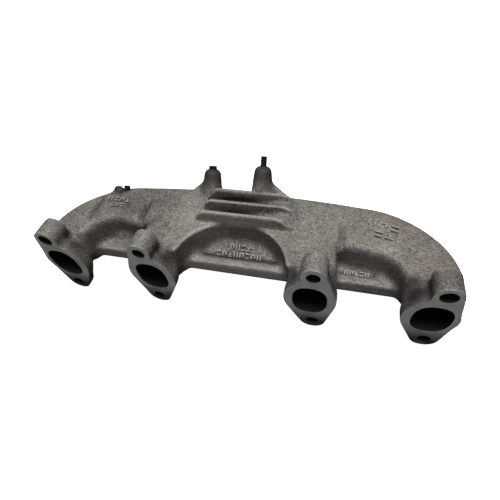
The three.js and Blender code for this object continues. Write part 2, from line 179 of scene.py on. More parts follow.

# Spots of the iron's finish, each with its place, reach, stretch along each axis and strength.
# The first table paints light and shade on the iron, the second lays dark scale on it and paints shade, and
# the third lets it rust.
PAINTED_LIGHT_AND_SHADE = (
    # painted light and shade: brighter near the fins and the right elbow, darker on the left roof and the
    # web, and painted highlights along the rib and the front fin
    ((-38, 54, 24), 44, (1, 1, 1), 0.2),
    ((118, 48, 22), 44, (1, 1, 1), 0.1),
    ((-100, 62, 22), 60, (1, 1, 1), -0.25),
    ((5, 44, -6), 34, (1.3, 0.6, 1), -0.08),
    ((0, 25, -13), 6, (30, 1, 1.4), 0.9),
    ((0, 29, -5.5), 5, (30, 1, 0.8), 0.2),
    ((0, 49.8, 26), 9, (4.6, 0.6, 1), 0.6),
)
SCALE_AND_SHADE = (
    # dark scale on the posts and the end boss
    ((-35.5, 95, 33), 34, (0.6, 0.62, 1), 1.3),
    ((12.8, 95, 38), 38, (0.6, 0.55, 1), 1.3),
    ((-127, 81, 26), 15, (1, 1, 1), 2),
    # painted shade in the grooves between the fins, behind the rib and in the creases across the roof
    ((-6, FIN_FIRST + 9.4, 21), 11, (3.6, 0.75, 1), 3),
    ((-6, FIN_FIRST + 9.4 + FIN_PITCH, 21), 11, (3.6, 0.85, 1), 4.5),
    ((0, 38, -10.5), 3.6, (42, 1, 1), 1.6),
    ((-142.5, 56, 22), 4.5, (0.9, 4, 2), 0.9),
    ((-92, 56, 22), 4.5, (0.9, 4, 2), 1),
    ((86.5, 54, 22), 4.5, (0.9, 4, 2), 0.5),
    # painted shade beside the runners and on the upper bolt bosses
    ((-141, 10, 19), 18, (0.7, 0.9, 1.2), 0.9),
    ((-53, 10, 19), 18, (0.7, 0.9, 1.2), 1),
    ((54, 9, 20), 18, (0.6, 0.9, 1.3), 1),
    ((84, 9, 19), 18, (0.5, 0.9, 1.3), 1),
    ((140, 10, 21), 21, (0.75, 1, 1.2), 1.2),
    ((58, 9, 31), 9, (0.45, 1.6, 1), 0.9),
    ((80, 9, 31), 9, (0.5, 1.6, 1), 0.9),
    ((146, 9, 31), 11, (0.7, 1.4, 1), 0.5),
    ((166, 9, 33), 9, (0.5, 1.6, 1), 0.8),
    ((157, 9, 40), 15, (1, 1.2, 0.9), 0.35),
)
RUSTED = (
    ((-36, 92, 32), 26, (1, 1, 1), 1),
    ((118, 76, 22), 45, (1, 1, 1), 1),
    ((150, 40, 22), 38, (1, 1, 1), 0.8),
)

# The stage, in metres and watts
LIGHTS = (
    # name, place, width, power
    ("key", (0.09, -0.08, 1.25), 0.45, 17.5),
    ("front", (0.1, -1.3, 0.5), 0.9, 1.8),
    ("rear", (-0.4, 1.3, 0.3), 0.8, 2.5),
)
WORLD_LIGHT = 0.035
CAMERA_LENS = 24.54
CAMERA_PLACE = (0.0751, -0.1353, 0.2368)
CAMERA_AXES = Matrix((
    (0.96838, -0.12535, 0.21572),
    (0.23090, 0.77774, -0.58464),
    (-0.09449, 0.61596, 0.78209),
))


def length(name, description, default):
    """A property that holds a length, given here in millimetres."""
    return bpy.props.FloatProperty(name=name, description=description, default=default * MM, unit="LENGTH")


def colour(name, description, default):
    """A property that holds a colour."""
    return bpy.props.FloatVectorProperty(
        name=name, description=description, default=default, subtype="COLOR", min=0, max=1
    )


class ManifoldSizes(bpy.types.PropertyGroup):
    """The sizes of the casting."""

    pair_pitch: length("Pair pitch", "Between the two ports of each outer pair", 88)
    centre_pitch: length("Centre pitch", "Between the two middle ports", 135)
    port_half_x: length("Port half width", "Half of a port's width", 13.6)
    port_half_z: length("Port half height", "Half of a port's height", 17.8)
    bolt_span: length("Bolt span", "Between the two bolt holes of one flange", 63)
    bolt_hole: length("Bolt hole radius", "Radius of the plain bolt holes", 4.75)
    end_hole: length("End hole radius", "Radius of the end flanges' upper holes", 5.5)
    depth: length("Gallery depth", "From the gasket plane to the gallery's axis", 73)
    wall: length("Wall", "Thickness of the cast wall", 5)
    voxel: length("Voxel", "Grid on which the cast surface is fused", 1.15)
    fillet: length("Fillet", "Radius of the fillets between cast shapes", 2.2)


class StudSizes(bpy.types.PropertyGroup):
    """The sizes of the studs' threads."""

    fine_pitch: length("Fine pitch", "Thread pitch of the shield studs", 1.0)
    coarse_pitch: length("Coarse pitch", "Thread pitch of the outlet studs", 1.25)


class ManifoldColours(bpy.types.PropertyGroup):
    """The colours of the finishes."""

    iron_light: colour("Iron, light", "Bare tips of the cast grain", (0.37, 0.35, 0.318))
    iron_dark: colour("Iron, dark", "Hollows of the cast grain", (0.07, 0.062, 0.054))
    # this colour also paints the shade in the grooves, behind the rib, in the creases and beside the runners
    # and bosses
    scale: colour("Scale", "Dark scale on the posts and in the grooves", (0.013, 0.0115, 0.01))
    rust: colour("Rust", "Thin rust bloom", (0.22, 0.105, 0.05))
    machined: colour("Machined iron", "Faces cut flat", (0.46, 0.472, 0.455))
    # soot in the passages, and painted shade on the walls of the bolt and stud holes
    soot_and_shade: colour("Soot", "Walls of the hollows", (0.006, 0.006, 0.006))
    stud: colour("Stud steel", "Dark phosphated steel", (0.022, 0.022, 0.023))
    floor: colour("Floor", "Pale floor", (0.93, 0.93, 0.93))


def smoothstep(value, low, high):
    t = min(1, max(0, (value - low) / (high - low)))
    return t * t * (3 - 2 * t)


def blend(a, b, t):
    return a + (b - a) * t


def squared(value, squareness):
    """Pushes a circle's coordinate out towards a square's."""
    return math.copysign(abs(value) ** (2 / squareness), value)


def leaning(x, y, z):
    """The frame of a post or stud whose top is at x, y, z and which leans back from the vertical."""
    return Matrix.Translation((x, y, z)) @ Matrix.Rotation(-LEAN, 4, "X")


class Shape:
    """A mesh in millimetres, with the makers that the pieces share."""

    def __init__(self):
        self.bm = bmesh.new()

    def ring(self, centre, across, up, half_across, half_up, squareness=2, lean=0):
        """A closed loop of edges. lean tips its front side."""
        verts = bmesh.ops.create_circle(self.bm, cap_ends=False, segments=SIDES, radius=1)["verts"]
        for vert in verts:
            a = squared(vert.co.x, squareness) * half_across
            b = squared(vert.co.y, squareness) * half_up
            a += lean * b * max(0, a / half_across)
            vert.co = centre + across * a + up * b
        return list({edge for vert in verts for edge in vert.link_edges})

    def loft(self, rings):
        """A closed tube through rings, each given as ring's arguments."""
        loops = [self.ring(**ring) for ring in rings]
        for near, far in zip(loops, loops[1:]):
            bmesh.ops.bridge_loops(self.bm, edges=near + far)
        for loop in (loops[0], loops[-1]):
            bmesh.ops.holes_fill(self.bm, edges=loop, sides=0)

    def turned(self, profile, start, direction):
        """A tube of round section along a direction, through pairs of distance and radius."""
        across = direction.orthogonal().normalized()
        up = direction.cross(across)
        self.loft([
            dict(centre=start + direction * far, across=across, up=up, half_across=r, half_up=r)
            for far, r in profile
        ])

    def plate(self, outline, axis, low, high, matrix=Matrix.Identity(4)):
        """Extrudes an outline of points, drawn across an axis, from one height to another."""
        thrust = axis * (high - low)
        verts = [self.bm.verts.new(matrix @ (point + axis * low)) for point in outline]
        face = self.bm.faces.new(verts)
        lifted = bmesh.ops.extrude_face_region(self.bm, geom=[face])["geom"]
        moved = [item for item in lifted if isinstance(item, bmesh.types.BMVert)]
        bmesh.ops.translate(self.bm, verts=moved, vec=matrix.to_3x3() @ thrust)

    def hull(self, circles, axis, low, high):
        """The convex solid round circles, given as centre and half sizes, from one height to another."""
        across = RIGHT
        up = axis.cross(across)
        before = set(self.bm.verts)
        for centre, half_across, half_up in circles:
            for height in (low, high):
                self.ring(centre + axis * height, across, up, half_across, half_up)
        made = [vert for vert in self.bm.verts if vert not in before]
        result = bmesh.ops.convex_hull(self.bm, input=made, use_existing_faces=False)
        spare = {item for key in ("geom_interior", "geom_unused") for item in result[key]}
        spare = [item for item in spare if isinstance(item, bmesh.types.BMVert)]
        bmesh.ops.delete(self.bm, geom=spare, context="VERTS")

    def block(self, low, high):
        """A box between two corners."""
        centre = (low + high) / 2
        matrix = Matrix.Translation(centre) @ Matrix.Diagonal(high - low).to_4x4()
        bmesh.ops.create_cube(self.bm, size=1, matrix=matrix)

    def cone(self, matrix, low, high, low_radius, high_radius):
        """A round tapered solid along a frame's own upward axis."""
        bmesh.ops.create_cone(
            self.bm, cap_ends=True, segments=SIDES, radius1=low_radius, radius2=high_radius,
            depth=high - low, matrix=matrix @ Matrix.Translation((0, 0, (low + high) / 2)),
        )

    def ball(self, matrix, radius, height):
        """A round dome of a given radius and height, centred on a frame."""
        scale = Matrix.Diagonal((radius, radius, height, 1))
        bmesh.ops.create_uvsphere(self.bm, u_segments=32, v_segments=16, radius=1, matrix=matrix @ scale)

    def object(self, name, slots=()):
        """The finished shape as an object in millimetres."""
        bmesh.ops.recalc_face_normals(self.bm, faces=self.bm.faces)
        mesh = bpy.data.meshes.new(name)
        self.bm.to_mesh(mesh)
        self.bm.free()
        for material in slots:
            mesh.materials.append(material)
        made = bpy.data.objects.new(name, mesh)
        bpy.context.scene.collection.objects.link(made)
        return made


def apply_modifiers(thing):
    """Puts the result of an object's modifiers in its mesh."""
    evaluated = thing.evaluated_get(bpy.context.evaluated_depsgraph_get())
    mesh = bpy.data.meshes.new_from_object(evaluated)
    thing.modifiers.clear()
    old = thing.data
    thing.data = mesh
    bpy.data.meshes.remove(old)


def add_modifier(thing, kind, **settings):
    modifier = thing.modifiers.new(kind.title(), kind)
    for key, value in settings.items():
        setattr(modifier, key, value)


def fuse(thing, voxel, smoothing, fillet=0, keep=1):
    """Fuses overlapping shells to one cast skin, with fillets in its inner corners.

    The fillets come from swelling the skin and shrinking it again. keep is the share of faces left.
    """
    if fillet:
        add_modifier(thing, "REMESH", mode="VOXEL", voxel_size=voxel * 1.25)
        add_modifier(thing, "DISPLACE", strength=fillet, mid_level=0)
        add_modifier(thing, "REMESH", mode="VOXEL", voxel_size=voxel * 1.25)
        add_modifier(thing, "SMOOTH", factor=0.5, iterations=2)
        add_modifier(thing, "DISPLACE", strength=-fillet, mid_level=0)
    add_modifier(thing, "REMESH", mode="VOXEL", voxel_size=voxel)
    add_modifier(thing, "SMOOTH", factor=0.5, iterations=smoothing)
    if keep < 1:
        add_modifier(thing, "DECIMATE", ratio=keep)
    apply_modifiers(thing)


def cut(thing, tool, operation="DIFFERENCE"):
    """Cuts a tool from a solid, or joins it on, and removes the tool."""
    add_modifier(thing, "BOOLEAN", operation=operation, object=tool, solver="MANIFOLD")
    apply_modifiers(thing)
    bpy.data.objects.remove(tool)


def use_finish(thing, index):
    """Gives every face of a tool the finish that it leaves on what it cuts."""
    thing.data.polygons.foreach_set("material_index", [index] * len(thing.data.polygons))


def hand_over(thing, nodes, angle=35):
    """Makes a shape metres, shades it, and puts it in place of its CAD nodes."""
    thing.data.transform(Matrix.Scale(MM, 4))
    thing.data.shade_smooth()
    thing.data.set_sharp_from_angle(angle=math.radians(angle))
    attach(thing, "root")
    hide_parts(*nodes)
    if not thing.data.polygons:
        raise RuntimeError(f"{thing.name} has no faces")


class Link:
    """A socket that takes part in arithmetic."""

    def __init__(self, finish, socket):
        self.finish = finish
        self.socket = socket

    def maths(self, operation, first, second):
        made = self.finish.node("ShaderNodeMath", {"operation": operation}, {0: first, 1: second})
        return self.finish.out(made, 0)

    def __add__(self, other):
        return self.maths("ADD", self, other)

    def __radd__(self, other):
        return self.maths("ADD", other, self)

    def __sub__(self, other):
        return self.maths("SUBTRACT", self, other)

    def __rsub__(self, other):
        return self.maths("SUBTRACT", other, self)

    def __mul__(self, other):
        return self.maths("MULTIPLY", self, other)


class Finish:
    """A procedural material and the nodes that it is made of."""

    def __init__(self, name):
        self.material = bpy.data.materials.new(name)
        self.material.use_nodes = True
        self.tree = self.material.node_tree
        self.shader = self.tree.nodes["Principled BSDF"]
        self.place = self.out(self.node("ShaderNodeTexCoord"), "Object")

    def out(self, node, output):
        return Link(self, node.outputs[output])

    def fill(self, socket, value):
        if isinstance(value, Link):
            self.tree.links.new(value.socket, socket)
        else:
            socket.default_value = value

    def node(self, kind, settings=None, sockets=None):
        """Adds a node: its settings first, then the values or links of its sockets."""
        made = self.tree.nodes.new(kind)
        for key, value in (settings or {}).items():
            setattr(made, key, value)
        for key, value in (sockets or {}).items():
            self.fill(made.inputs[key], value)
        return made

    def set(self, **sockets):
        """Fills sockets of the shader, named with underscores for spaces."""
        for key, value in sockets.items():
            self.fill(self.shader.inputs[key.replace("_", " ")], value)

    def noise(self, size, detail=3, roughness=0.6, stretch=(1, 1, 1)):
        """Noise whose grains are about a size, in millimetres."""
        scale = tuple(1 / (size * MM * s) for s in stretch)
        mapped = self.node("ShaderNodeMapping", {}, {"Vector": self.place, "Scale": scale})
        sockets = {"Vector": self.out(mapped, 0), "Scale": 1, "Detail": detail, "Roughness": roughness}
        return self.out(self.node("ShaderNodeTexNoise", {}, sockets), "Fac")

    def between(self, value, low, high, smooth=True):
        """0 below low and 1 above high."""
        settings = {"interpolation_type": "SMOOTHSTEP" if smooth else "LINEAR", "clamp": True}
        sockets = {"Value": value, "From Min": low, "From Max": high}
        return self.out(self.node("ShaderNodeMapRange", settings, sockets), "Result")

    def near(self, point, reach, stretch):
        """1 at a point given in millimetres, fading to 0 at a reach, which is stretched along each axis."""
        scale = tuple(1 / (reach * MM * s) for s in stretch)
        shift = tuple(-c * MM * k for c, k in zip(point, scale))
        sockets = {"Vector": self.place, "Location": shift, "Scale": scale}
        offset = self.out(self.node("ShaderNodeMapping", {}, sockets), 0)
        distance = self.node("ShaderNodeVectorMath", {"operation": "LENGTH"}, {0: offset})
        return 1 - self.between(self.out(distance, "Value"), 0, 1)

    def spots(self, table):
        """The sum of a table's spots, each of them near's arguments and a strength."""
        total = 0
        for point, reach, stretch, strength in table:
            total = self.near(point, reach, stretch) * strength + total
        return total

    def mix(self, factor, first, second):
        """A colour between two colours."""
        made = self.node("ShaderNodeMix", {"data_type": "RGBA"}, {0: factor, 6: first, 7: second})
        return self.out(made, 2)

    def bump(self, height, strength, distance):
        """The normal of a surface with hills of a height given in millimetres."""
        sockets = {"Strength": strength, "Distance": distance * MM, "Height": height}
        return self.out(self.node("ShaderNodeBump", {}, sockets), "Normal")


def opaque(shade, gain=1):
    """A colour with its alpha, made darker or lighter by a gain."""
    return (*(min(1, c * gain) for c in shade), 1)


def iron_finish(colours):
    """Shot-blasted grey iron: a speckled grain, hollows darkened by painted shade, edges brighter from wear
    and a painted highlight, and a little rust.
    """
    iron = Finish("cast_iron")
    grain = iron.noise(0.95, detail=3, roughness=0.75)
    pebbles = iron.noise(2.1, detail=3, roughness=0.65)
    clouds = iron.noise(17, detail=4, roughness=0.6)
    edge_wear_and_painted_light = iron.out(iron.node("ShaderNodeNewGeometry"), "Pointiness")
    speckle = iron.between(grain * 0.7 + pebbles * 0.3, 0.43, 0.57, smooth=False)
    shade = speckle * 0.7 + iron.between(clouds, 0.3, 0.7) * 0.2 - 0.04
    # painted light and shade, spot by spot
    shade = shade + iron.spots(PAINTED_LIGHT_AND_SHADE)
    # edges brightened by wear and a painted highlight, concave hollows darkened by painted shade
    shade = shade + iron.between(edge_wear_and_painted_light, 0.505, 0.56) * 0.65 - (1 - iron.between(edge_wear_and_painted_light, 0.44, 0.495)) * 0.5
    shade = iron.between(shade, 0, 1, smooth=False)
    base = iron.mix(shade, opaque(colours.iron_dark), opaque(colours.iron_light))
    patches = iron.between(iron.noise(6, detail=4, roughness=0.7), 0.42, 0.68)
    rusty = iron.between(iron.spots(RUSTED) * patches, 0, 1, smooth=False) * 0.3
    base = iron.mix(rusty, base, opaque(colours.rust))
    # dark scale on the posts and the end boss, and painted shade in the grooves, the creases and beside the
    # runners and bosses
    scale_and_shade = iron.between(iron.spots(SCALE_AND_SHADE), 0, 1, smooth=False) * 0.9
    base = iron.mix(scale_and_shade, base, opaque(colours.scale))
    height = grain * 0.5 + pebbles * 0.9 + iron.noise(0.45, detail=2) * 0.25
    iron.set(
        Base_Color=base,
        Metallic=0.25,
        Roughness=0.72 - speckle * 0.16,
        Normal=iron.bump(height, 0.8, 0.6),
    )
    return iron.material


def machined_finish(colours):
    """Flat faces cut by a milling cutter: fine parallel marks, stains that darken the metal, and painted
    shade that makes the faces darker towards the bottom.
    """
    face = Finish("machined_iron")
    marks = face.noise(0.5, detail=2, stretch=(60, 1, 0.5))
    grain = face.noise(0.8, detail=3, roughness=0.7)
    stains = face.between(face.noise(9, detail=4, roughness=0.65), 0.35, 0.7)
    height = face.out(face.node("ShaderNodeSeparateXYZ", {}, {0: face.place}), "Z")
    # painted shade: the faces grow darker towards the bottom
    low = face.between(height, -36 * MM, -8 * MM)
    light = marks * 0.25 + grain * 0.45 + stains * 0.2 + low * 0.9 - 0.4
    base = face.mix(
        face.between(light, 0.0, 1.1, smooth=False),
        opaque(colours.machined, 0.1),
        opaque(colours.machined, 1.7),
    )
    face.set(
        Base_Color=base,
        Metallic=0.2,
        Roughness=0.5 + stains * 0.16,
        Normal=face.bump(marks * 0.6 + grain * 0.6, 0.3, 0.06),
    )
    return face.material


def soot_and_shade_finish(colours):
    """Dull black scale on the walls of the hollows: soot in the passages, and painted shade on the walls of
    the bolt and stud holes.
    """
    soot_and_shade = Finish("soot_and_painted_shade")
    scale = soot_and_shade.noise(1.6, detail=4, roughness=0.7)
    base = soot_and_shade.mix(scale, opaque(colours.soot_and_shade), opaque(colours.soot_and_shade, 3))
    soot_and_shade.set(Base_Color=base, Roughness=0.85 + scale * 0.1, Normal=soot_and_shade.bump(scale, 0.5, 0.4))
    soot_and_shade.shader.inputs["Specular IOR Level"].default_value = 0.15
    return soot_and_shade.material


def stud_finish(colours):
    """Phosphated steel: nearly black, with dry grey worn into it."""
    steel = Finish("phosphated_steel")
    wear = steel.between(steel.noise(1.4, detail=4, roughness=0.7), 0.5, 0.75)
    base = steel.mix(wear * 0.6, opaque(colours.stud), opaque(colours.stud, 4))
    steel.set(Base_Color=base, Metallic=0.5, Roughness=0.52 - wear * 0.12, Normal=steel.bump(wear, 0.3, 0.08))
    return steel.material


def gallery_path(sizes, reach):
    """Places along the gallery's axis with the half width there, from the left port to the right one."""
    outer = (sizes.centre_pitch / 2 + sizes.pair_pitch) / MM
    depth = sizes.depth / MM
    bend_x = outer - ELBOW_RUN
    bend_y = depth - BOW
    half = []
    for i in range(15):
        t = i / 14
        width = blend(MIDDLE_HALF_Y, BEND_HALF_Y, t ** 1.5)
        half.append((Vector((bend_x * t, depth - BOW * t * t, 0)), width))
    for i in range(1, 17):
        t = i / 16
        angle = t * math.pi / 2
        y = ELBOW_START + (bend_y - ELBOW_START) * math.cos(angle)
        width = blend(BEND_HALF_Y, ELBOW_HALF, smoothstep(t, 0, 0.6))
        width = blend(width, RUNNER_HALF_X + 1, smoothstep(t, 0.6, 1))
        half.append((Vector((bend_x + ELBOW_RUN * math.sin(angle), y, 0)), width))
    for y in (ELBOW_START * 0.6, ELBOW_START * 0.25, reach):
        width = blend(RUNNER_HALF_X, RUNNER_HALF_X + 1, max(0, y) / ELBOW_START)
        half.append((Vector((outer, y, 0)), width))
    other = [(Vector((-place.x, place.y, 0)), width) for place, width in half[:0:-1]]
    return other + half


def gallery_rings(sizes, reach, inset=0):
    """The rings of the gallery, or of its hollow when they are inset."""
    path = gallery_path(sizes, reach)
    rings = []
    for i, (place, width) in enumerate(path):
        before = path[max(0, i - 1)][0]
        after = path[min(len(path) - 1, i + 1)][0]
        along = (after - before).normalized()
        front = along.cross(UP)
        full = smoothstep(place.y, NECK_END - 9, NECK_END)
        slim = LEFT_SLIM / 2 * smoothstep(-place.x, 104, 126) * smoothstep(place.y, 8, 24)
        rings.append(dict(
            centre=place - front * slim, across=front, up=UP, half_across=width - slim - inset,
            half_up=blend(NECK_HALF_Z, GALLERY_HALF_Z, full) - inset,
            squareness=blend(NECK_SQUARENESS, GALLERY_SQUARENESS, full), lean=ROOF_LEAN * full,
        ))
    return rings


def add_flange(shape, sizes, x):
    """A port's flange: an oval with a bolt lobe above and below it."""
    side = math.copysign(1, x)
    outer = abs(x) > sizes.centre_pitch / MM
    outer_half = END_FLANGE_OUTER_X if outer else FLANGE_HALF_X
    half = (FLANGE_HALF_X + outer_half) / 2
    middle = Vector((x - side * (FLANGE_HALF_X - outer_half) / 2, 0, 0))
    bolt = UP * (sizes.bolt_span / MM / 2)
    low = Vector((x + side * LOW_BOLT_OFFSET, 0, 0)) - bolt
    top = Vector((x + side * TOP_BOLT_OFFSET, 0, 0)) + bolt
    neck = Vector((x + side * (outer_half - NECK_RADIUS - 0.8), 0, NECK_HEIGHT))
    shape.hull([(middle, half, FLANGE_HALF_Z), (low, LOW_LOBE_RADIUS, LOW_LOBE_RADIUS)],
               BACK, -MACHINING, FLANGE_THICKNESS)
    shape.hull([(neck, NECK_RADIUS, NECK_RADIUS), (top, TOP_LOBE_RADIUS, TOP_LOBE_RADIUS)],
               BACK, -MACHINING, FLANGE_THICKNESS)
    shape.turned([(-MACHINING, TOP_LOBE_RADIUS), (TOP_BOSS_LENGTH + 1, TOP_LOBE_RADIUS)], top, BACK)
    shape.turned([(-MACHINING, LOW_LOBE_RADIUS), (FLANGE_THICKNESS + 1, LOW_LOBE_RADIUS - 0.6)], low, BACK)


def add_web(shape, sizes):
    """The web between the runners, and the rib along its front edge."""
    reach = (sizes.centre_pitch / 2 + sizes.pair_pitch) / MM - 6
    rear = sizes.depth / MM - MIDDLE_HALF_Y + 8
    outline = [
        (RIB_FRONT, RIB_TOP), (RIB_FRONT, RIB_LOW), (RIB_BACK - 1.5, RIB_LOW),
        (RIB_BACK, WEB_LOW_TOP - WEB_THICKNESS), (rear, WEB_HIGH_TOP - WEB_THICKNESS),
        (rear, WEB_HIGH_TOP + 4), (RIB_BACK + 1.5, WEB_LOW_TOP), (RIB_BACK - 0.5, RIB_TOP),
    ]
    shape.plate([Vector((0, y, z)) for y, z in outline], RIGHT, -reach, reach)
    # Between the two left-hand runners the web climbs more steeply.
    steep = [(RIB_BACK + 3, -9), (rear, -9), (rear, 15), (RIB_BACK + 9, 2)]
    shape.plate([Vector((0, y, z)) for y, z in steep], RIGHT, -reach, -sizes.centre_pitch / MM / 2)


def add_arch(shape, sizes):
    """The walls that round off the corners between the two middle runners and the gallery."""
    inner = sizes.centre_pitch / MM / 2
    span = inner - FLANGE_HALF_X
    half = inner - FLANGE_HALF_X / 2
    crest = sizes.depth / MM - MIDDLE_HALF_Y - ARCH_CENTRE_Y
    outline = [Vector((-half, ARCH_CENTRE_Y + 6, 0))]
    for i in range(1, 24):
        angle = math.pi * (1 - i / 24)
        outline.append(Vector((span * math.cos(angle), ARCH_CENTRE_Y + crest * math.sin(angle), 0)))
    outline += [Vector((half, ARCH_CENTRE_Y + 6, 0)), Vector((half, sizes.depth / MM, 0)),
                Vector((-half, sizes.depth / MM, 0))]
    before = set(shape.bm.verts)
    shape.plate(outline, UP, ARCH_LOW, ARCH_TOP)
    made = [vert for vert in shape.bm.verts if vert not in before]
    foot = [vert for vert in made if vert.co.z < 0 and vert.co.y < ARCH_CENTRE_Y + crest + 1]
    bmesh.ops.scale(shape.bm, verts=foot, vec=(ARCH_FLARE, ARCH_FLARE, 1),
                    space=Matrix.Translation((0, -ARCH_CENTRE_Y, 0)))


def add_fins(shape):
    """Three fins on the roof, blunt on the left, with floors between them that rise to the right."""
    for i, (left, right) in enumerate(FIN_ENDS):
        fin = [(left, 17), (left, 23), (left + 1.6, 28), (left + 4.6, 31.2), (left + 8, CREST),
               (right - 10, CREST), (right - 5, CREST - 2), (right, 24), (right + 3, 17)]
        low = FIN_FIRST + FIN_PITCH * i
        shape.plate([Vector((x, 0, z)) for x, z in fin], BACK, low, low + FIN_THICKNESS)
        if i:
            floor = [(-34, 17), (-32, 19.6), (-8, 20), (20, 24.5), (right - 12, 28.6),
                     (right - 6, 27.8), (right + 3, 23), (right + 7, 17)]
            shape.plate([Vector((x, 0, z)) for x, z in floor], BACK, low - FIN_PITCH + 1, low + 1)


def add_post(shape, x, top, run, drop):
    """A leaning shield post with its gusset."""
    matrix = leaning(x, POST_TOP_Y, top)
    shape.cone(matrix, -POST_LENGTH, -5, POST_RADIUS + 2.5, POST_RADIUS)
    shape.ball(matrix @ Matrix.Translation((0, 0, -5.4)), POST_RADIUS, 5.6)
    inside = math.copysign(POST_RADIUS - 1, run)
    outline = [(0, -POST_LENGTH), (run, -POST_LENGTH), (run, 7 - POST_LENGTH), (inside, -drop), (0, -drop)]
    shape.plate([Vector((u, 0, v)) for u, v in outline], BACK, -3, 3, matrix)


def outlet_corners():
    """The middles of the four outlet studs, at the height of the gallery's axis."""
    half = OUTLET_SPACING / 2
    return [OUTLET + Vector((sx * half, sy * half, 0)) for sx, sy in ((-1, -1), (1, -1), (1, 1), (-1, 1))]


def cast_body(sizes):
    """Everything that is cast, before its fillets and its machining."""
    shape = Shape()
    inner = sizes.centre_pitch / MM / 2
    outer = inner + sizes.pair_pitch / MM
    shape.loft(gallery_rings(sizes, -MACHINING))
    for x in (-inner, inner):
        side = math.copysign(1, x)
        shape.loft([
            dict(centre=Vector((x + side * (outside - inside) / 2, y, 0)), across=RIGHT, up=UP,
                 half_across=(outside + inside) / 2,
                 half_up=blend(NECK_HALF_Z, GALLERY_HALF_Z - RUNNER_DROP, full),
                 squareness=blend(NECK_SQUARENESS, GALLERY_SQUARENESS, full))
            for y, outside, inside, full in (*INNER_RUNNER, (sizes.depth / MM, *INNER_RUNNER_END))
        ])
    for x in (-outer, -inner, inner, outer):
        add_flange(shape, sizes, x)
    add_web(shape, sizes)
    add_arch(shape, sizes)
    for x, top, run, drop, _ in POSTS:
        add_post(shape, x, top, run, drop)
    boss = leaning(*END_BOSS)
    shape.cone(boss, -END_BOSS_LENGTH, 0.4, 7, 5.8)
    shape.cone(boss @ Matrix.Translation((NUB_OFFSET, 0, 2.4)), -END_BOSS_LENGTH, 0, 5.6, 4.4)
    shape.ball(boss @ Matrix.Translation((NUB_OFFSET, 0, 2.2)), 4.5, 2.4)
    lobes = [(corner, OUTLET_LOBE_RADIUS, OUTLET_LOBE_RADIUS) for corner in outlet_corners()]
    shape.hull(lobes, UP, OUTLET_FACE - MACHINING, OUTLET_FACE + OUTLET_THICKNESS)
    shape.turned([(OUTLET_FACE, OUTLET_BORE + 6), (-10, OUTLET_BORE + 4)], OUTLET, UP)
    return shape


def press_valleys(body):
    """Presses shallow creases across the gallery's roof."""
    for vert in body.data.vertices:
        x, y, z = vert.co
        roof = smoothstep(z, 10, 19) * smoothstep(y, 34, 42) * (z < CREST - 8) * (1 - smoothstep(y, 58, 74))
        if roof:
            vert.co.z -= roof * sum(deep * math.exp(-(((x - at) / wide) ** 2)) for at, deep, wide in VALLEYS)


def passages(sizes):
    """The hollow inside: the gallery, the four port passages and the outlet."""
    shape = Shape()
    inner = sizes.centre_pitch / MM / 2
    outer = inner + sizes.pair_pitch / MM
    depth = sizes.depth / MM
    wall = sizes.wall / MM
    shape.loft(gallery_rings(sizes, ELBOW_START * 0.5, wall))
    for x, deep in ((-outer, END_PASSAGE), (-inner, depth), (inner, depth), (outer, END_PASSAGE)):
        shape.loft([
            dict(centre=Vector((x, y, 0)), across=RIGHT, up=UP, half_across=sizes.port_half_x / MM,
                 half_up=sizes.port_half_z / MM, squareness=PORT_SQUARENESS)
            for y in (-6, deep)
        ])
    shape.turned([(OUTLET_FACE - 6, OUTLET_BORE), (0, OUTLET_BORE)], OUTLET, UP)
    return shape


def milling():
    """What is milled off: all in front of the gasket plane, and all below the outlet's face."""
    shape = Shape()
    shape.block(Vector((-220, -40, -80)), Vector((220, 0, 80)))
    shape.block(Vector((-60, 35, -70)), Vector((50, 125, OUTLET_FACE)))
    return shape


def bolt_holes(sizes):
    """Each bolt hole's place on the gasket plane, the distance to its nut seat and its radius."""
    inner = sizes.centre_pitch / MM / 2
    outer = inner + sizes.pair_pitch / MM
    return [
        (Vector((x + math.copysign(shift, x), 0, sign * sizes.bolt_span / MM / 2)), seat, radius / MM)
        for x in (-outer, -inner, inner, outer)
        for shift, sign, seat, radius in (
            (TOP_BOLT_OFFSET, 1, TOP_BOSS_LENGTH, sizes.end_hole if abs(x) == outer else sizes.bolt_hole),
            (LOW_BOLT_OFFSET, -1, FLANGE_THICKNESS, sizes.bolt_hole),
        )
    ]


def add_bolt_hole(shape, place, seat, radius):
    """A plain hole with a broken front edge."""
    shape.turned([(-1, radius + 1.5), (0.5, radius), (seat + SEAT_DEPTH + 2, radius)], place, BACK)


def add_nut_seat(shape, place, seat, radius):
    """A round flat behind a bolt hole, for its nut."""
    shape.turned([(seat, radius + NUT_ROOM), (seat + SEAT_DEPTH, radius + NUT_ROOM)], place, BACK)


def add_mark(shape, place, across, up, wide, tall):
    """A raised bar of the foundry's marks, lying on the surface at a place."""
    normal = across.cross(up).normalized()
    matrix = Matrix((across * wide, up * tall, normal * MARK_HEIGHT * 2)).transposed().to_4x4()
    matrix.translation = place
    made = bmesh.ops.create_cube(shape.bm, size=1, matrix=matrix)["verts"]
    edges = list({edge for vert in made for edge in vert.link_edges})
    bmesh.ops.bevel(shape.bm, geom=edges, offset=0.25, affect="EDGES", segments=2, profile=0.5, material=-1)


